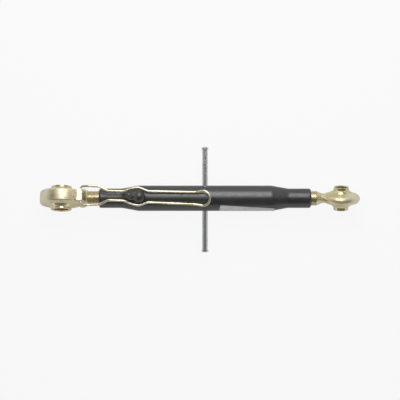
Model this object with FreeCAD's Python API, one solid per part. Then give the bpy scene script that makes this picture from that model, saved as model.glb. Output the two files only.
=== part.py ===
import FreeCAD, Part
import math
import os

from FreeCAD import Vector

# Adjustable top link for a three-point linkage: a turnbuckle tube with a right-hand and a
# left-hand spindle, a captive ball in the eye of each spindle, a sliding tommy bar that turns
# the tube, and a spring wire lock that snaps round a peg so that the tube can't turn by itself.
#
# Millimetres. The origin is the centre of the tractor-end ball, +X runs along the link to the
# implement end, +Y along the tommy bar and +Z up, to the side where the wire lock lies.

os.makedirs("parts", exist_ok=True)

ORIGIN = Vector(0, 0, 0)
ALONG_X = Vector(1, 0, 0)
ALONG_Y = Vector(0, 1, 0)
ALONG_Z = Vector(0, 0, 1)

# ------------------------------------------------------------------ driving dimensions
PIN_TO_PIN = 606.7          # ball centre to ball centre, as stored
TRACTOR_ROLL = -11.4        # degrees that each eye is rolled about the link's axis
IMPLEMENT_ROLL = 12.0
SEAT_GAP = 0.08             # radial play of a ball in its seat, and of a ring on a spindle

TUBE_LENGTH = 458.6
TUBE_R = 27.5
TUBE_BORE_R = 21.0
MOUTH_R = 21.0              # outside of the swaged ends
MOUTH_ROUND = 4.0
MOUTH_LENGTH = 49.3         # straight part of a swaged end
SWAGE_LENGTH = 36.0         # cone from a swaged end to the full tube
SWAGE_BLEND = 22.0
NUT_LENGTH = 58.0           # threaded length inside each end
NUT_RUNOUT = 8.0

SPINDLE_R = 16.0            # over the threads, a 32 x 3 trapezoidal thread
THREAD_GAP = 0.05
TRACTOR_MOUTH_X = 82.2      # where the tube starts, with the thread showing before it

TRACTOR_NECK_END_X = 57.5    # where each forged eye ends and its spindle is welded on,
IMPLEMENT_NECK_END_X = 54.2  # from its own ball

STUB_R = 12.0               # the spindle's inner end, which carries its stop ring
STUB_LENGTH = 16.0
SPINDLE_END_GAP = 21.6      # from the tube's middle to each spindle's inner end
STOP_RING_R = 20.7
STOP_RING_LENGTH = 10.4
END_PLAY = 0.3
GROOVE_R = 11.0
GROOVE_WIDTH = 2.1
SNAP_RING_R = 15.5
SNAP_RING_GAP = 50.0        # degrees left open in a snap ring

BALL_WIDTH = 51.0           # both hitch categories use this width
BORE_CHAMFER = 1.5

TOMMY_R = 6.0
TOMMY_GAP = 0.075
TOMMY_LOW_Y = -117.6
TOMMY_HIGH_Y = 111.3
TOMMY_HEAD_R = 7.6
TOMMY_HEAD_LENGTH = 6.0

WIRE_R = 2.5
WIRE_GAP = 0.1

LUG_HALF_WIDTH = 11.0
LUG_START_X = 34.0
LUG_TOP_END_X = 49.0
LUG_FOOT_END_X = 55.5
LUG_TOP_Z = 38.0
LUG_ROUND = 3.0
PIVOT_X = 45.0              # the wire's pivot hole, in the eye's own upright frame
PIVOT_Z = 30.0

PEG_X = 169.5               # middle of the peg's dome
PEG_Z = 26.0
PEG_CLOCK = -7.0            # degrees that the peg stands off the tube's top
PEG_LEAN = 45.0             # degrees that its shank leans towards the tractor end
DOME_R = 14.2
SHANK_R = 8.7
SHANK_END = 24.0            # distances from the dome's middle
NOSE_R = 6.4
NOSE_END = 34.5
LUG_BEAD = 2.8              # width of the weld beads
PEG_BEAD = 2.0

# ------------------------------------------------------------------ worked out from those
TUBE_MIDDLE_X = TRACTOR_MOUTH_X + TUBE_LENGTH / 2


class Eye:
    """Sizes of one eye and its ball, in the eye's own upright frame with its ball at the origin."""

    def __init__(self, ball_r, collar_r, bore_r, lip_y, lip_rim):
        self.ball_r = ball_r
        self.collar_r = collar_r
        self.bore_r = bore_r
        self.seat_r = ball_r + SEAT_GAP
        self.lip_y = lip_y
        self.lip_r = math.sqrt(self.seat_r ** 2 - lip_y ** 2)
        self.lip_rim = lip_rim


TRACTOR_EYE = Eye(ball_r=31.5, collar_r=22.5, bore_r=16.0, lip_y=15.8, lip_rim=2.4)
IMPLEMENT_EYE = Eye(ball_r=25.0, collar_r=16.0, bore_r=12.85, lip_y=13.4, lip_rim=2.2)


# ------------------------------------------------------------------ small helpers
def closed_face(steps):
    """Face inside an outline. A step is a point, or a (through, end) pair for an arc."""
    here = steps[0]
    edges = []
    for step in steps[1:]:
        if isinstance(step, tuple):
            through, end = step
            edges.append(Part.Arc(here, through, end).toShape())
        else:
            end = step
            edges.append(Part.LineSegment(here, end).toShape())
        here = end
    if here.distanceToPoint(steps[0]) > 1e-6:
        edges.append(Part.LineSegment(here, steps[0]).toShape())
    return Part.Face(Part.Wire(edges))


def turned(steps, axis):
    """Solid of revolution about an axis through the origin."""
    return closed_face(steps).revolve(ORIGIN, axis, 360)


def rod(radius, start, end, axis=ALONG_X):
    """Cylinder about an axis through the origin, between two distances along it."""
    return Part.makeCylinder(radius, end - start, axis * start, axis)


def rolled(shape, degrees):
    """Copy turned about the link's axis."""
    copy = shape.copy()
    copy.rotate(ORIGIN, ALONG_X, degrees)
    return copy


def at_implement_end(shape):
    """Copy of a shape made for the tractor end, mirrored to the other end of the link."""
    copy = shape.mirror(ORIGIN, ALONG_X)
    copy.translate(ALONG_X * PIN_TO_PIN)
    return copy


# ------------------------------------------------------------------ turnbuckle tube
def turnbuckle_tube():
    """Tube swaged down at both ends, tapped right-hand at one end and left-hand at the other."""
    half = TUBE_LENGTH / 2
    mouth = half - MOUTH_LENGTH
    shoulder = mouth - SWAGE_LENGTH
    nut = half - NUT_LENGTH
    nut_r = SPINDLE_R + THREAD_GAP
    flat_r = MOUTH_R - MOUTH_ROUND
    bevel = MOUTH_ROUND * (1 - 1 / math.sqrt(2))

    def point(x, r):
        return Vector(x, 0, r)

    outline = [
        point(-half, nut_r),
        point(-half, flat_r),
        (point(-half + bevel, MOUTH_R - bevel), point(-half + MOUTH_ROUND, MOUTH_R)),
        point(-mouth, MOUTH_R),
        point(-shoulder, TUBE_R),
        point(shoulder, TUBE_R),
        point(mouth, MOUTH_R),
        point(half - MOUTH_ROUND, MOUTH_R),
        (point(half - bevel, MOUTH_R - bevel), point(half, flat_r)),
        point(half, nut_r),
        point(nut, nut_r),
        point(nut - NUT_RUNOUT, TUBE_BORE_R),
        point(-nut + NUT_RUNOUT, TUBE_BORE_R),
        point(-nut, nut_r),
    ]
    tube = turned(outline, ALONG_X)
    bends = [
        edge for edge in tube.Edges
        if isinstance(edge.Curve, Part.Circle)
        and edge.Curve.Radius in (MOUTH_R, TUBE_R)
        and min(abs(abs(edge.Curve.Center.x) - x) for x in (mouth, shoulder)) < 0.01
    ]
    tube = tube.makeFillet(SWAGE_BLEND, bends)
    tube = tube.cut(rod(TOMMY_R + TOMMY_GAP, -2 * TUBE_R, 2 * TUBE_R, ALONG_Y))
    tube.translate(ALONG_X * TUBE_MIDDLE_X)
    return tube


def tommy_bar():
    """Round bar with an upset mushroom head at each end, which keeps it in the tube."""
    collar = 1.6
    crown_h = 2.2
    crown_r = (TOMMY_HEAD_R ** 2 + crown_h ** 2) / (2 * crown_h)
    half_angle = math.asin(TOMMY_HEAD_R / crown_r) / 2
    rise = crown_r * (1 - math.cos(half_angle))
    low_head_end = TOMMY_LOW_Y + TOMMY_HEAD_LENGTH
    high_head_start = TOMMY_HIGH_Y - TOMMY_HEAD_LENGTH

    def point(r, y):
        return Vector(r, y, 0)

    bar = turned([
        point(0, TOMMY_LOW_Y),
        (point(crown_r * math.sin(half_angle), TOMMY_LOW_Y + rise),
         point(TOMMY_HEAD_R, TOMMY_LOW_Y + crown_h)),
        point(TOMMY_HEAD_R, low_head_end - collar),
        point(TOMMY_R, low_head_end),
        point(TOMMY_R, high_head_start),
        point(TOMMY_HEAD_R, high_head_start + collar),
        point(TOMMY_HEAD_R, TOMMY_HIGH_Y - crown_h),
        (point(crown_r * math.sin(half_angle), TOMMY_HIGH_Y - rise), point(0, TOMMY_HIGH_Y)),
    ], ALONG_Y)
    bar.translate(ALONG_X * TUBE_MIDDLE_X)
    return bar


# ------------------------------------------------------------------ balls and eyes
def hitch_ball(eye):
    """Ball with a short collar at each side and a chamfered bore for the hitch pin."""
    half = BALL_WIDTH / 2
    collar_y = math.sqrt(eye.ball_r ** 2 - eye.collar_r ** 2)
    rim = 1.0

    def point(r, y):
        return Vector(r, y, 0)

    outline = [
        point(eye.bore_r, -half + BORE_CHAMFER),
        point(eye.bore_r + BORE_CHAMFER, -half),
        point(eye.collar_r - rim, -half),
        point(eye.collar_r, -half + rim),
        point(eye.collar_r, -collar_y),
        (point(eye.ball_r, 0), point(eye.collar_r, collar_y)),
        point(eye.collar_r, half - rim),
        point(eye.collar_r - rim, half),
        point(eye.bore_r + BORE_CHAMFER, half),
        point(eye.bore_r, half - BORE_CHAMFER),
    ]
    return turned(outline, ALONG_Y)


def ball_room(eye):
    """The space that a ball and its collars need inside an eye."""
    seat = Part.makeSphere(eye.seat_r)
    return seat.fuse(rod(eye.lip_r, -2 * eye.lip_y, 2 * eye.lip_y, ALONG_Y))


def spindle(eye_end_x, shoulder_x):
    """Threaded shank with a plain stub and a snap ring groove at its inner end."""
    shank = rod(SPINDLE_R, eye_end_x, shoulder_x)
    shank = shank.fuse(rod(STUB_R, shoulder_x, shoulder_x + STUB_LENGTH))
    groove_x = shoulder_x + STOP_RING_LENGTH + 2 * END_PLAY
    groove = rod(SNAP_RING_R, groove_x, groove_x + GROOVE_WIDTH)
    groove = groove.cut(rod(GROOVE_R, groove_x, groove_x + GROOVE_WIDTH))
    return shank.cut(groove)


def spindle_shoulder_x(mouth_x):
    """Where a spindle steps down to its stub, measured from its own ball."""
    return mouth_x + TUBE_LENGTH / 2 - SPINDLE_END_GAP - STUB_LENGTH


TRACTOR_SHOULDER_X = spindle_shoulder_x(TRACTOR_MOUTH_X)
IMPLEMENT_MOUTH_X = PIN_TO_PIN - TRACTOR_MOUTH_X - TUBE_LENGTH
IMPLEMENT_SHOULDER_X = spindle_shoulder_x(IMPLEMENT_MOUTH_X)


def tractor_eye():
    """Heavy eye with rounded shoulders and a stout round neck, in its own upright frame."""
    eye = TRACTOR_EYE
    side_y = 15.0
    outer_r = 46.0
    crown_r = 46.4
    shoulder = 5.5
    neck_r = 20.3
    neck = [(33.5, 15.0), (43.0, neck_r), (50.5, neck_r), (TRACTOR_NECK_END_X, SPINDLE_R)]
    bevel = shoulder * (1 - 1 / math.sqrt(2))
    lip_end_r = eye.lip_r + eye.lip_rim

    def point(r, y):
        return Vector(r, y, 0)

    ring = turned([
        point(eye.lip_r, -eye.lip_y),
        point(lip_end_r, -eye.lip_y),
        point(lip_end_r + 1, -side_y),
        point(outer_r - shoulder, -side_y),
        (point(outer_r - bevel, -side_y + bevel), point(outer_r, -side_y + shoulder)),
        (point(crown_r, 0), point(outer_r, side_y - shoulder)),
        (point(outer_r - bevel, side_y - bevel), point(outer_r - shoulder, side_y)),
        point(lip_end_r + 1, side_y),
        point(lip_end_r, eye.lip_y),
        point(eye.lip_r, eye.lip_y),
        (point(eye.seat_r, 0), point(eye.lip_r, -eye.lip_y)),
    ], ALONG_Y)
    stem = [Vector(neck[0][0], 0, 0)]
    stem += [Vector(x, 0, r) for x, r in neck]
    stem += [Vector(TRACTOR_NECK_END_X, 0, 0)]
    return ring.fuse(turned(stem, ALONG_X)).cut(ball_room(eye)).removeSplitter()


def implement_eye():
    """Lighter eye with a crowned section and a slim neck, made as if for the tractor end."""
    eye = IMPLEMENT_EYE
    neck_r = 10.8
    neck_start_x = 30.0
    neck_end_x = 43.0
    lip_end_r = eye.lip_r + eye.lip_rim
    slope_r = 32.0
    slope_y = 9.6
    outer_r = 40.6
    crown_r = 38.4
    crown_y = 6.2

    def point(r, y):
        return Vector(r, y, 0)

    ring = turned([
        point(eye.lip_r, -eye.lip_y),
        point(lip_end_r, -eye.lip_y),
        point(slope_r, -slope_y),
        (point(crown_r, -crown_y), point(outer_r, 0)),
        (point(crown_r, crown_y), point(slope_r, slope_y)),
        point(lip_end_r, eye.lip_y),
        point(eye.lip_r, eye.lip_y),
        (point(eye.seat_r, 0), point(eye.lip_r, -eye.lip_y)),
    ], ALONG_Y)
    neck = turned([
        Vector(neck_start_x, 0, 0),
        Vector(neck_start_x, 0, neck_r - 1.5),
        Vector(neck_end_x, 0, neck_r),
        Vector(IMPLEMENT_NECK_END_X, 0, SPINDLE_R),
        Vector(IMPLEMENT_NECK_END_X, 0, 0),
    ], ALONG_X)
    return ring.fuse(neck).cut(ball_room(eye)).removeSplitter()


# ------------------------------------------------------------------ stops inside the tube
def stop_ring(shoulder_x):
    """Loose ring on a spindle's stub. It meets the tube's threaded end at full length."""
    start = shoulder_x + END_PLAY
    end = start + STOP_RING_LENGTH
    bore_r = STUB_R + SEAT_GAP
    bevel = 1.2

    def point(x, r):
        return Vector(x, 0, r)

    return turned([
        point(start, bore_r),
        point(start, STOP_RING_R - bevel),
        point(start + bevel, STOP_RING_R),
        point(end - bevel, STOP_RING_R),
        point(end, STOP_RING_R - bevel),
        point(end, bore_r),
    ], ALONG_X)


def snap_ring(shoulder_x):
    """Open spring ring in the stub's groove."""
    play = 0.1
    start = shoulder_x + STOP_RING_LENGTH + 2 * END_PLAY + play
    end = start + GROOVE_WIDTH - 2 * play
    inner_r = GROOVE_R + play / 2
    ring = rod(SNAP_RING_R, start, end).cut(rod(inner_r, start, end))
    reach = 2 * SNAP_RING_R
    half_gap = math.radians(SNAP_RING_GAP / 2)
    opening = closed_face([
        Vector(start - 1, 0, 0),
        Vector(start - 1, -reach * math.sin(half_gap), -reach * math.cos(half_gap)),
        Vector(start - 1, reach * math.sin(half_gap), -reach * math.cos(half_gap)),
    ])
    return ring.cut(opening.extrude(ALONG_X * (end - start + 2)))


# ------------------------------------------------------------------ wire lock and its lug
def lug_blank():
    """Block that the wire pivots in, before it is cut to sit on the eye and its neck."""
    def point(x, z):
        return Vector(x, -LUG_HALF_WIDTH, z)

    bevel = LUG_ROUND * (1 - 1 / math.sqrt(2))
    top = LUG_TOP_Z
    foot_z = 14.0
    side = closed_face([
        point(LUG_START_X, foot_z),
        point(LUG_START_X, top - LUG_ROUND),
        (point(LUG_START_X + bevel, top - bevel), point(LUG_START_X + LUG_ROUND, top)),
        point(LUG_TOP_END_X - LUG_ROUND, top),
        (point(LUG_TOP_END_X - bevel * 0.8, top - bevel),
         point(LUG_TOP_END_X + 0.4, top - LUG_ROUND)),
        point(LUG_FOOT_END_X, foot_z),
    ])
    return side.extrude(ALONG_Y * 2 * LUG_HALF_WIDTH)


def lock_lug(eye_solid):
    """Lug seated on the eye, with the cross hole for the wire's bent ends."""
    hole = rod(WIRE_R + WIRE_GAP, -2 * LUG_HALF_WIDTH, 2 * LUG_HALF_WIDTH, ALONG_Y)
    hole.translate(Vector(PIVOT_X, 0, PIVOT_Z))
    return lug_blank().cut(eye_solid).cut(hole)


def lug_weld(eye_solid, lug):
    """Bead along the lug's two long feet, where it meets the round neck."""
    start = LUG_START_X + 6
    end = LUG_FOOT_END_X - 3
    inner = LUG_HALF_WIDTH
    outer = LUG_HALF_WIDTH + LUG_BEAD
    foot_z = 10.0
    top_z = 20.5
    beads = []
    for side in (-1, 1):
        section = closed_face([
            Vector(start, side * inner, foot_z),
            Vector(start, side * outer, foot_z),
            Vector(start, side * outer, top_z - LUG_BEAD),
            Vector(start, side * inner, top_z),
        ])
        bead = section.extrude(ALONG_X * (end - start))
        beads.append(bead.cut(eye_solid).cut(lug))
    return Part.makeCompound(beads)


def wire_route():
    """Bend points of the wire from one blind end in the lug to the other, as (point, radius)."""
    pivot = rolled(Part.Vertex(Vector(PIVOT_X, 0, PIVOT_Z)), TRACTOR_ROLL).Point
    side = rolled(Part.Vertex(ALONG_Y), TRACTOR_ROLL).Point
    lie_z = TUBE_R + WIRE_R - 0.6
    # distance along the link, half of the gap between the two legs, height, bend radius
    leg = [
        (60.0, 20.4, 28.0, 24.0),
        (84.5, 19.4, 28.6, 14.0),
        (103.0, 10.1, 29.4, 16.0),
        (136.0, 10.1, 29.4, 14.0),
        (154.0, 16.4, 29.4, 14.0),
        (PEG_X - 1.0, 19.6, 29.4, 16.0),
        (189.0, 12.0, 29.4, 16.0),
        (290.0, 13.0, 29.4, 30.0),
        (307.0, 15.6, 32.0, 14.0),
    ]
    loop_x = 322.0
    loop_half = 15.6
    loop_z = 35.5
    loop_bend = 14.6
    straight_x = 285.0      # from here on the loop lies square on the tube
    lean = pivot.y

    def bend(x, across, z):
        shift = lean * min(1.0, max(0.0, (straight_x - x) / (straight_x - 110.0)))
        return Vector(x, shift + across, z)

    route = []
    for sign in (1, -1):
        half = [
            (pivot + side * (sign * 3.5), 0),
            (pivot + side * (sign * 20.2), 5.5),
        ]
        half += [(bend(x, sign * gap, z), radius) for x, gap, z, radius in leg]
        half += [(bend(loop_x, sign * loop_half, loop_z), loop_bend)]
        route.append(half)
    return route[0] + route[1][::-1]


def bent_wire(route, radius):
    """Round wire along straight runs joined by tangent arcs."""
    points = [point for point, _ in route]
    edges = []
    here = points[0]
    for (corner, bend_r), before, after in zip(route[1:-1], points, points[2:]):
        arrive = (corner - before).normalize()
        leave = (after - corner).normalize()
        turn = math.acos(max(-1.0, min(1.0, arrive.dot(leave))))
        if turn < math.radians(0.5):
            continue
        setback = bend_r * math.tan(turn / 2)
        start = corner - arrive * setback
        end = corner + leave * setback
        inward = (leave - arrive).normalize()
        centre = corner + inward * (bend_r / math.cos(turn / 2))
        edges.append(Part.LineSegment(here, start).toShape())
        edges.append(Part.Arc(start, centre - inward * bend_r, end).toShape())
        here = end
    edges.append(Part.LineSegment(here, points[-1]).toShape())
    path = Part.Wire(edges)
    section = Part.Wire(Part.Circle(points[0], points[1] - points[0], radius).toShape())
    wire = path.makePipeShell([section], True, False)
    print("wire length", round(path.Length, 1), "volume over section x length",
          round(wire.Volume / (path.Length * math.pi * radius ** 2), 4))
    return wire


# ------------------------------------------------------------------ peg on the tube
def lock_peg():
    """Stepped peg leaning out of a dome; the wire snaps down round the dome."""
    bevel = 1.2

    def point(r, z):
        return Vector(r, 0, z)

    shank = turned([
        point(0, 0),
        point(SHANK_R, 0),
        point(SHANK_R, SHANK_END - bevel),
        point(SHANK_R - bevel, SHANK_END),
        point(NOSE_R, SHANK_END),
        point(NOSE_R, NOSE_END - bevel),
        point(NOSE_R - bevel, NOSE_END),
        point(0, NOSE_END),
    ], ALONG_Z)
    shank.rotate(ORIGIN, ALONG_Y, -PEG_LEAN)
    return Part.makeSphere(DOME_R).fuse(shank)


def place_peg(shape):
    """Copy of a shape made round the dome's middle, moved to its place on the tube."""
    copy = shape.copy()
    copy.translate(Vector(PEG_X, 0, PEG_Z))
    return rolled(copy, PEG_CLOCK)


def peg_weld(peg):
    """Bead round the dome that follows the tube's surface."""
    reach = DOME_R + 2 * PEG_BEAD
    skin = rod(TUBE_R + PEG_BEAD, PEG_X - reach, PEG_X + reach)
    bead = place_peg(Part.makeSphere(DOME_R + PEG_BEAD)).common(skin)
    core = rod(TUBE_R, PEG_X - reach, PEG_X + reach)
    return bead.cut(core).cut(peg)


# ------------------------------------------------------------------ assembly
def export(name, shape):
    solids = shape.Solids
    assert solids and all(solid.isValid() for solid in solids), name
    print(name, len(solids), "solid", round(shape.Volume / 1000, 2), "cm3")
    shape.exportStep("parts/" + name + ".step")


tractor_upright = tractor_eye()
lug_upright = lock_lug(tractor_upright)
peg = place_peg(lock_peg()).cut(rod(TUBE_R, TRACTOR_MOUTH_X, TUBE_MIDDLE_X))

export("tractor_eye", rolled(tractor_upright, TRACTOR_ROLL))
export("tractor_spindle", spindle(TRACTOR_NECK_END_X, TRACTOR_SHOULDER_X))
export("tractor_ball", rolled(hitch_ball(TRACTOR_EYE), TRACTOR_ROLL))
export("tractor_stop_ring", stop_ring(TRACTOR_SHOULDER_X))
export("tractor_snap_ring", snap_ring(TRACTOR_SHOULDER_X))
export("lock_lug", rolled(lug_upright, TRACTOR_ROLL))
export("lug_weld", rolled(lug_weld(tractor_upright, lug_upright), TRACTOR_ROLL))
export("wire_lock", bent_wire(wire_route(), WIRE_R))

export("turnbuckle_tube", turnbuckle_tube())
export("lock_peg", peg)
export("peg_weld", peg_weld(peg))
export("tommy_bar", tommy_bar())

export("implement_eye", at_implement_end(rolled(implement_eye(), IMPLEMENT_ROLL)))
export("implement_spindle",
       at_implement_end(spindle(IMPLEMENT_NECK_END_X, IMPLEMENT_SHOULDER_X)))
export("implement_ball", at_implement_end(rolled(hitch_ball(IMPLEMENT_EYE), IMPLEMENT_ROLL)))
export("implement_stop_ring", at_implement_end(stop_ring(IMPLEMENT_SHOULDER_X)))
export("implement_snap_ring", at_implement_end(snap_ring(IMPLEMENT_SHOULDER_X)))
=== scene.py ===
"""Looks of an adjustable tractor top link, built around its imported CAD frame.

Metres, in the frame of the CAD: +X along the link to its implement end, +Y along the tommy bar,
+Z up to the side where the wire lock lies, which is also where the camera stands.
"""
import math

import bmesh
import bpy
from mathutils import Matrix, Vector


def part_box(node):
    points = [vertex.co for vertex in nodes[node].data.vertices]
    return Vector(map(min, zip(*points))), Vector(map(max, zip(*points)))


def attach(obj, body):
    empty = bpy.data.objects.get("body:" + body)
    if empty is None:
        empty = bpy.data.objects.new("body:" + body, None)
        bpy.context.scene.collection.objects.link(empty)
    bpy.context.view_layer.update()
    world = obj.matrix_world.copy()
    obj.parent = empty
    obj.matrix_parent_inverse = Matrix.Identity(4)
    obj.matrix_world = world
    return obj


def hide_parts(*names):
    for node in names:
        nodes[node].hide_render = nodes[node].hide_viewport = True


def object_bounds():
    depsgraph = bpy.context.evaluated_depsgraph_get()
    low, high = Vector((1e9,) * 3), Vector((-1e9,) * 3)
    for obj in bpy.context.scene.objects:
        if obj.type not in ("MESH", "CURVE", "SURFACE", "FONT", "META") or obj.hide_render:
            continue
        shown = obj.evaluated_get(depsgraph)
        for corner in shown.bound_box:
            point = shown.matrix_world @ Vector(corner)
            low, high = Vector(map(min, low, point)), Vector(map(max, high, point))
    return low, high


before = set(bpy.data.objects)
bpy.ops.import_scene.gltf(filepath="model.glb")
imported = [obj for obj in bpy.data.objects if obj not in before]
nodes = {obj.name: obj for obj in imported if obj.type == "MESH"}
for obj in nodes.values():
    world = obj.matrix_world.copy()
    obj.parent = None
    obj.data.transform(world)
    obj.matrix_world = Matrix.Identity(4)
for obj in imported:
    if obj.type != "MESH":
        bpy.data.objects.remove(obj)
cad_box = [list(corner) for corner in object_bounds()]

TURN = 2 * math.pi


# ------------------------------------------------------------------ materials
class Shader:
    """One node material, built around a Principled BSDF and object coordinates."""

    def __init__(self, name, **settings):
        self.material = bpy.data.materials.new(name)
        self.material.use_nodes = True
        self.tree = self.material.node_tree
        self.bsdf = self.tree.nodes["Principled BSDF"]
        self.place = self.tree.nodes.new("ShaderNodeTexCoord").outputs["Object"]
        for socket, value in settings.items():
            self.bsdf.inputs[socket.replace("_", " ")].default_value = value

    def feed(self, socket, value):
        """Link an output into a socket, or set the socket to a constant."""
        if isinstance(value, bpy.types.NodeSocket):
            self.tree.links.new(value, socket)
        else:
            socket.default_value = value

    def add(self, kind, inputs=(), **properties):
        """New node with its properties set and its inputs fed, by name or number."""
        node = self.tree.nodes.new(kind)
        for key, value in properties.items():
            setattr(node, key, value)
        for key, value in dict(inputs).items():
            self.feed(node.inputs[key], value)
        return node

    def noise(self, scale, detail=3.0, roughness=0.55, stretch=(1, 1, 1)):
        """Fractal noise from 0 to 1, stretched where a stretch factor is below 1."""
        place = self.place
        if stretch != (1, 1, 1):
            place = self.add("ShaderNodeMapping", {"Vector": place, "Scale": stretch}).outputs[0]
        texture = self.add("ShaderNodeTexNoise", {
            "Vector": place, "Scale": scale, "Detail": detail, "Roughness": roughness})
        return texture.outputs[0]

    def remap(self, value, low, high, to_low=0.0, to_high=1.0):
        """Value scaled from low..high to to_low..to_high, and clamped."""
        return self.add("ShaderNodeMapRange", {
            0: value, 1: low, 2: high, 3: to_low, 4: to_high}).outputs[0]

    def math(self, operation, first, second=0.0):
        return self.add("ShaderNodeMath", {0: first, 1: second}, operation=operation).outputs[0]

    def mix(self, factor, first, second):
        """Colour between two colours."""
        node = self.add("ShaderNodeMix", {0: factor}, data_type="RGBA")
        for socket, colour in ((node.inputs[6], first), (node.inputs[7], second)):
            self.feed(socket, colour if isinstance(colour, bpy.types.NodeSocket) else (*colour, 1))
        return node.outputs[2]

    def off_axis(self):
        """Distance of the surface point from the link's axis."""
        flat = self.add("ShaderNodeVectorMath", {0: self.place, 1: (0, 1, 1)},
                        operation="MULTIPLY").outputs[0]
        return self.add("ShaderNodeVectorMath", {0: flat}, operation="LENGTH").outputs["Value"]

    def bump(self, height, distance, strength=1.0, under=None):
        """Bumped normal, on top of another one where there is one."""
        node = self.add("ShaderNodeBump", {
            "Height": height, "Distance": distance, "Strength": strength})
        if under is not None:
            self.feed(node.inputs["Normal"], under)
        return node.outputs[0]

    def finish(self, colour, roughness, normal):
        self.feed(self.bsdf.inputs["Base Color"], colour)
        self.feed(self.bsdf.inputs["Roughness"], roughness)
        self.feed(self.bsdf.inputs["Normal"], normal)
        return self.material


GOLD = (0.84, 0.74, 0.47)
PALE_GOLD = (0.92, 0.86, 0.68)
OLIVE = (0.56, 0.53, 0.26)
ROSE = (0.85, 0.64, 0.48)
BROWN = (0.34, 0.22, 0.12)


def yellow_zinc(name, grain, roughness, tint=PALE_GOLD, patch=22.0):
    """Yellow chromate on zinc: pale gold that drifts to olive and rose, over a forged grain."""
    shader = Shader(name, Metallic=1.0)
    drift = shader.noise(patch, detail=3.0)
    rose = shader.noise(patch * 2.3, detail=4.0, roughness=0.6)
    stain = shader.noise(patch * 5.0, detail=6.0, roughness=0.7)
    colour = shader.mix(shader.remap(drift, 0.38, 0.62), tint, GOLD)
    colour = shader.mix(shader.remap(drift, 0.56, 0.74, 0.0, 0.75), colour, OLIVE)
    colour = shader.mix(shader.remap(rose, 0.56, 0.74, 0.0, 0.6), colour, ROSE)
    colour = shader.mix(shader.remap(stain, 0.62, 0.78, 0.0, 0.7), colour, BROWN)
    fine = shader.noise(900.0, detail=4.0)
    coarse = shader.noise(260.0, detail=3.0)
    normal = shader.bump(coarse, grain, 0.7)
    normal = shader.bump(fine, grain * 0.25, 0.6, under=normal)
    return shader, colour, shader.remap(stain, 0.3, 0.7, roughness - 0.05, roughness + 0.14), normal


def plain_yellow_zinc(name, grain, roughness, **look):
    shader, colour, rough, normal = yellow_zinc(name, grain, roughness, **look)
    return shader.finish(colour, rough, normal)


def thread_zinc(name, root_r, crest_r):
    """Yellow zinc on a thread, with painted shade darkening its grooves towards their roots."""
    shader, colour, rough, normal = yellow_zinc(name, 0.00006, 0.3, tint=GOLD, patch=30.0)
    # painted shade: the colour goes darker brown with depth, towards the roots of the thread's
    # grooves
    depth = shader.remap(shader.off_axis(), root_r, crest_r)
    groove_shade = shader.math("MULTIPLY", shader.math("SUBTRACT", 1.0, depth), 0.75)
    return shader.finish(shader.mix(groove_shade, colour, BROWN), rough, normal)


def black_paint(name):
    """Satin black paint on rolled tube: orange peel, dull patches, and scuffs from handling."""
    shader = Shader(name, IOR=1.8, Coat_Weight=0.25, Coat_Roughness=0.3)
    cloud = shader.noise(28.0, detail=4.0)
    grime = shader.noise(160.0, detail=5.0, roughness=0.65, stretch=(0.5, 1, 1))
    scuff = shader.noise(210.0, detail=7.0, roughness=0.75, stretch=(0.3, 1, 1))
    worn = shader.math("MULTIPLY", shader.remap(scuff, 0.60, 0.70), shader.remap(cloud, 0.46, 0.62))
    colour = shader.mix(shader.remap(cloud, 0.3, 0.7), (0.010, 0.010, 0.011), (0.019, 0.019, 0.020))
    colour = shader.mix(shader.remap(grime, 0.55, 0.75, 0.0, 0.6), colour, (0.035, 0.035, 0.034))
    colour = shader.mix(worn, colour, (0.16, 0.155, 0.14))
    rough = shader.remap(grime, 0.3, 0.7, 0.30, 0.46)
    peel = shader.bump(shader.noise(520.0, detail=2.0), 0.00006, 0.5)
    return shader.finish(colour, rough, shader.bump(grime, 0.00008, 0.5, under=peel))


def bright_zinc(name):
    """Bright zinc on drawn bar, with faint drawing lines along it."""
    shader = Shader(name, Metallic=1.0)
    lines = shader.noise(1400.0, detail=2.0, stretch=(1, 0.02, 1))
    cloud = shader.noise(60.0, detail=4.0)
    colour = shader.mix(shader.remap(cloud, 0.35, 0.7), (0.86, 0.87, 0.88), (0.66, 0.67, 0.68))
    rough = shader.remap(cloud, 0.3, 0.7, 0.2, 0.34)
    return shader.finish(colour, rough, shader.bump(lines, 0.00002, 0.5))


def inner_steel(name):
    """Oiled plain steel of the rings inside the tube."""
    shader = Shader(name, Metallic=1.0)
    cloud = shader.noise(90.0, detail=4.0)
    colour = shader.mix(shader.remap(cloud, 0.3, 0.7), (0.30, 0.29, 0.28), (0.46, 0.45, 0.43))
    return shader.finish(colour, shader.remap(cloud, 0.3, 0.7, 0.25, 0.45),
                         shader.bump(shader.noise(700.0), 0.00003, 0.5))


def bare_label(name):
    """Unprinted label: glossy white film with a thin grey frame line, a little grubby."""
    shader = Shader(name)
    frame_line = shader.add("ShaderNodeAttribute", attribute_name="frame_line").outputs["Fac"]
    grime = shader.noise(120.0, detail=5.0, roughness=0.7)
    colour = shader.mix(shader.remap(grime, 0.45, 0.75), (0.80, 0.81, 0.80), (0.60, 0.61, 0.59))
    colour = shader.mix(frame_line, colour, (0.22, 0.24, 0.23))
    return shader.finish(colour, shader.remap(grime, 0.3, 0.7, 0.22, 0.4),
                         shader.bump(grime, 0.00005, 0.5))


CAMERA_WHITE = 0.9          # share of plain white that the camera sees in the ground
MIRRORED_WHITE = 0.3        # the same for reflections


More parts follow.
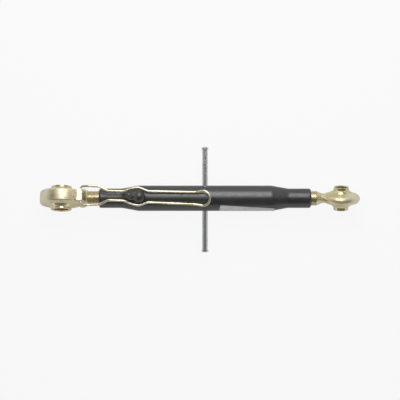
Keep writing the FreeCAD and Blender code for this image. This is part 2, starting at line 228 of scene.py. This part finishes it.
def white_ground(name):
    """Pale ground, mixed with plain white for the camera and less so for reflections."""
    shader = Shader(name)
    speck = shader.noise(40.0)
    colour = shader.mix(speck, (0.58, 0.58, 0.58), (0.60, 0.60, 0.60))
    shader.finish(colour, 0.9, shader.bump(speck, 0.0001, 0.1))
    path = shader.add("ShaderNodeLightPath")
    mirrored = shader.math("MAXIMUM", path.outputs["Is Glossy Ray"],
                           path.outputs["Is Transmission Ray"])
    seen = shader.math("ADD", shader.math("MULTIPLY", path.outputs["Is Camera Ray"],
                                          CAMERA_WHITE),
                       shader.math("MULTIPLY", mirrored, MIRRORED_WHITE))
    white = shader.add("ShaderNodeEmission", {"Color": (1, 1, 1, 1), "Strength": 1.0})
    both = shader.add("ShaderNodeMixShader", {0: seen, 1: shader.bsdf.outputs[0],
                                              2: white.outputs[0]})
    shader.tree.links.new(both.outputs[0], shader.tree.nodes["Material Output"].inputs["Surface"])
    return shader.material


# ------------------------------------------------------------------ meshes
def new_piece(name, mesh_data, material, body, replaces=(), sharp=math.radians(32)):
    """Object from a bmesh, smooth apart from its sharp edges, riding on a CAD body."""
    mesh_data.normal_update()
    for face in mesh_data.faces:
        face.smooth = True
    for edge in mesh_data.edges:
        if len(edge.link_faces) == 2 and edge.calc_face_angle() > sharp:
            edge.smooth = False
    mesh = bpy.data.meshes.new(name)
    mesh_data.to_mesh(mesh)
    mesh_data.free()
    mesh.materials.append(material)
    piece = bpy.data.objects.new(name, mesh)
    bpy.context.scene.collection.objects.link(piece)
    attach(piece, body)
    if replaces:
        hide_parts(*replaces)
    return piece


def ring_of_faces(built, first, second):
    """Quads between two closed rings of vertices."""
    count = len(first)
    for i in range(count):
        j = (i + 1) % count
        built.faces.new((first[i], first[j], second[j], second[i]))


def lathe(built, stations, segments):
    """Closed solid of revolution about the X axis, through (x, radius) stations."""
    rings = []
    for x, radius in stations:
        rings.append([
            built.verts.new((x, radius * math.cos(TURN * i / segments),
                             radius * math.sin(TURN * i / segments)))
            for i in range(segments)])
    for first, second in zip(rings, rings[1:]):
        ring_of_faces(built, first, second)
    built.faces.new(rings[0])
    built.faces.new(rings[-1])


PITCH = 0.003
THREAD_DEPTH = 0.0016
RING_PLAY = 0.0003          # from the end of the thread to its stop ring
STUB_SHARE = 0.75           # radius of the plain stub against the thread's
# one thread in shares of the pitch and of the depth: root, flank, crest, flank
THREAD_FORM = ((0.0, 0.0), (0.34, 0.0), (0.47, 1.0), (0.87, 1.0))


def threaded_bar(name, node, eye_x, shoulder_x, body, material):
    """Spindle with its trapezoidal thread cut in, and the plain stub that carries its ring."""
    low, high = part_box(node)
    crest_r = high.y
    segments = 56
    end_x = high.x if shoulder_x > eye_x else low.x
    sign = 1 if shoulder_x > eye_x else -1
    length = abs(shoulder_x - eye_x)
    built = bmesh.new()
    turns = int(length / PITCH) + 3
    rows = []
    for k in range(-1, turns):
        for share, height in THREAD_FORM:
            row = []
            for i in range(segments + 1):
                angle = TURN * i / segments
                along = (k + share + i / segments) * PITCH
                radius = crest_r - THREAD_DEPTH * (1 - height)
                row.append(built.verts.new((eye_x + sign * along, radius * math.cos(angle),
                                            radius * math.sin(angle))))
            rows.append(row)
    for first, second in zip(rows, rows[1:]):
        for i in range(segments):
            built.faces.new((first[i], first[i + 1], second[i + 1], second[i]))
    bmesh.ops.remove_doubles(built, verts=built.verts, dist=1e-6)
    for x, outward in ((eye_x, -sign), (shoulder_x, sign)):
        cut = bmesh.ops.bisect_plane(
            built, geom=built.verts[:] + built.edges[:] + built.faces[:], dist=1e-7,
            plane_co=(x, 0, 0), plane_no=(outward, 0, 0), clear_outer=True)
        rim = [e for e in cut["geom_cut"] if isinstance(e, bmesh.types.BMEdge)]
        bmesh.ops.contextual_create(built, geom=rim)
    stub_r = crest_r * STUB_SHARE
    lathe(built, [(shoulder_x, stub_r), (end_x, stub_r)], segments)
    bmesh.ops.recalc_face_normals(built, faces=built.faces)
    return new_piece(name, built, material, body, (node,), math.radians(25))


def wrapped_label(name, material):
    """Thin film round the tube's lower front, put on a few degrees crooked."""
    tube_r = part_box("turnbuckle_tube")[1].z
    middle_x = sum(corner.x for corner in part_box("tommy_bar")) / 2
    start_x = middle_x + 0.0325
    length = 0.119
    height = 0.045
    top_angle = math.radians(33.5)      # from the tube's top, on the side away from +Y
    crooked = math.radians(4.4)
    lift = 0.00012
    corner = 0.004
    inset = 0.0022
    line = 0.0007
    columns, lines = 160, 72
    built = bmesh.new()
    frame_line = built.verts.layers.float.new("frame_line")
    grid = []
    for j in range(lines + 1):
        v = height * j / lines
        edge = min(v, height - v)
        pull = corner - math.sqrt(corner ** 2 - (corner - edge) ** 2) if edge < corner else 0.0
        row = []
        for i in range(columns + 1):
            u = pull + (length - 2 * pull) * i / columns
            along = u * math.cos(crooked) - v * math.sin(crooked)
            around = u * math.sin(crooked) + v * math.cos(crooked)
            angle = top_angle + around / tube_r
            radius = tube_r + lift
            vert = built.verts.new((start_x + along, -radius * math.sin(angle),
                                    radius * math.cos(angle)))
            nearest = min(u, length - u, edge)
            vert[frame_line] = 1.0 if inset < nearest < inset + line else 0.0
            row.append(vert)
        grid.append(row)
    for first, second in zip(grid, grid[1:]):
        for i in range(columns):
            built.faces.new((first[i], second[i], second[i + 1], first[i + 1]))
    return new_piece(name, built, material, "tube")


# ------------------------------------------------------------------ the link
forged = plain_yellow_zinc("forged_gold", 0.00018, 0.42)
machined = plain_yellow_zinc("ball_gold", 0.00002, 0.2, tint=GOLD, patch=34.0)
lug_look = plain_yellow_zinc("lug_gold", 0.00008, 0.28, patch=40.0)
wire_look = plain_yellow_zinc("wire_gold", 0.00003, 0.2, patch=30.0)
paint = black_paint("black_paint")
looks = {
    "turnbuckle_tube": paint,
    "lock_peg": paint,
    "peg_weld": paint,
    "tommy_bar": bright_zinc("bar_zinc"),
    "tractor_eye": forged,
    "implement_eye": forged,
    "tractor_ball": machined,
    "implement_ball": machined,
    "lock_lug": lug_look,
    "lug_weld": lug_look,
    "wire_lock": wire_look,
}
steel = inner_steel("inner_steel")
for name, node in nodes.items():
    node.data.materials.clear()
    node.data.materials.append(looks.get(name, steel))

spindle_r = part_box("tractor_spindle")[1].y
thread_look = thread_zinc("spindle_gold", spindle_r - THREAD_DEPTH, spindle_r)
threaded_bar("tractor_thread", "tractor_spindle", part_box("tractor_spindle")[0].x,
             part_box("tractor_stop_ring")[0].x - RING_PLAY, "tractor_end", thread_look)
threaded_bar("implement_thread", "implement_spindle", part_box("implement_spindle")[1].x,
             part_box("implement_stop_ring")[1].x + RING_PLAY, "implement_end", thread_look)
wrapped_label("tube_label", bare_label("label_film"))


# ------------------------------------------------------------------ ground, light and camera
def flat_square(name, centre, half, material):
    built = bmesh.new()
    built.faces.new([built.verts.new((centre.x + sx * half, centre.y + sy * half, centre.z))
                     for sx, sy in ((-1, -1), (1, -1), (1, 1), (-1, 1))])
    mesh = bpy.data.meshes.new(name)
    built.to_mesh(mesh)
    built.free()
    mesh.materials.append(material)
    square = bpy.data.objects.new(name, mesh)
    bpy.context.scene.collection.objects.link(square)
    return square


def soft_box(name, place, aim, size, radiance, in_reflections=True):
    """Rectangular area lamp turned towards a point, its first size along X."""
    lamp = bpy.data.lights.new(name, "AREA")
    lamp.shape = "RECTANGLE"
    lamp.size, lamp.size_y = size
    lamp.energy = radiance * math.pi * size[0] * size[1]
    holder = bpy.data.objects.new(name, lamp)
    back = (Vector(place) - Vector(aim)).normalized()
    up = back.cross(Vector((1, 0, 0))).normalized()
    turn = Matrix((up.cross(back), up, back)).transposed().to_4x4()
    holder.matrix_world = Matrix.Translation(place) @ turn
    holder.visible_glossy = in_reflections
    bpy.context.scene.collection.objects.link(holder)
    return holder


HORIZON = 0.85              # strength of the world's pale band
OVERHEAD = 0.15
BAND_TOP = (0.15, 0.5)      # heights between which the band fades out


def studio_world(name):
    """White to the camera. For light: a pale band at the horizon and below, darker overhead."""
    world = bpy.data.worlds.new(name)
    world.use_nodes = True
    tree = world.node_tree
    background = tree.nodes["Background"]
    direction = tree.nodes.new("ShaderNodeTexCoord").outputs["Generated"]
    height = tree.nodes.new("ShaderNodeSeparateXYZ")
    tree.links.new(direction, height.inputs[0])
    fade = tree.nodes.new("ShaderNodeMapRange")
    fade.interpolation_type = "SMOOTHSTEP"
    for socket, value in zip(fade.inputs[1:5], (*BAND_TOP, HORIZON, OVERHEAD)):
        socket.default_value = value
    tree.links.new(height.outputs["Z"], fade.inputs[0])
    path = tree.nodes.new("ShaderNodeLightPath")
    level = tree.nodes.new("ShaderNodeMix")
    level.inputs[3].default_value = 1.0
    tree.links.new(path.outputs["Is Camera Ray"], level.inputs[0])
    tree.links.new(fade.outputs[0], level.inputs[2])
    tree.links.new(level.outputs[0], background.inputs["Strength"])
    background.inputs["Color"].default_value = (1, 1, 1, 1)
    return world


low, high = (Vector(corner) for corner in cad_box)
middle = (low + high) / 2
GROUND_GAP = 0.0005
GROUND_HALF = 6.0
ground = flat_square("ground", Vector((middle.x, middle.y, low.z - GROUND_GAP)), GROUND_HALF,
                     white_ground("white_ground"))

soft_box("key", (0.33, 0.92, 1.18), (0.33, 0.0, 0.0), (0.9, 1.2), 3.9)
soft_box("fill", (0.3, 0.0, 2.2), (0.3, 0.0, 0.0), (2.5, 2.5), 0.5, in_reflections=False)
bpy.context.scene.world = studio_world("studio")
bpy.context.scene.view_settings.view_transform = "Standard"

FRAME_WIDTH = 0.868         # metres across the picture at the link's axis
CAMERA_OVER = (0.3008, -0.0038)
CAMERA_HEIGHT = 2.5
SENSOR = 36.0
camera_data = bpy.data.cameras.new("camera")
camera_data.sensor_width = SENSOR
camera_data.lens = SENSOR * CAMERA_HEIGHT / FRAME_WIDTH
camera = bpy.data.objects.new("camera", camera_data)
camera.location = (*CAMERA_OVER, CAMERA_HEIGHT)
bpy.context.scene.collection.objects.link(camera)
bpy.context.scene.camera = camera
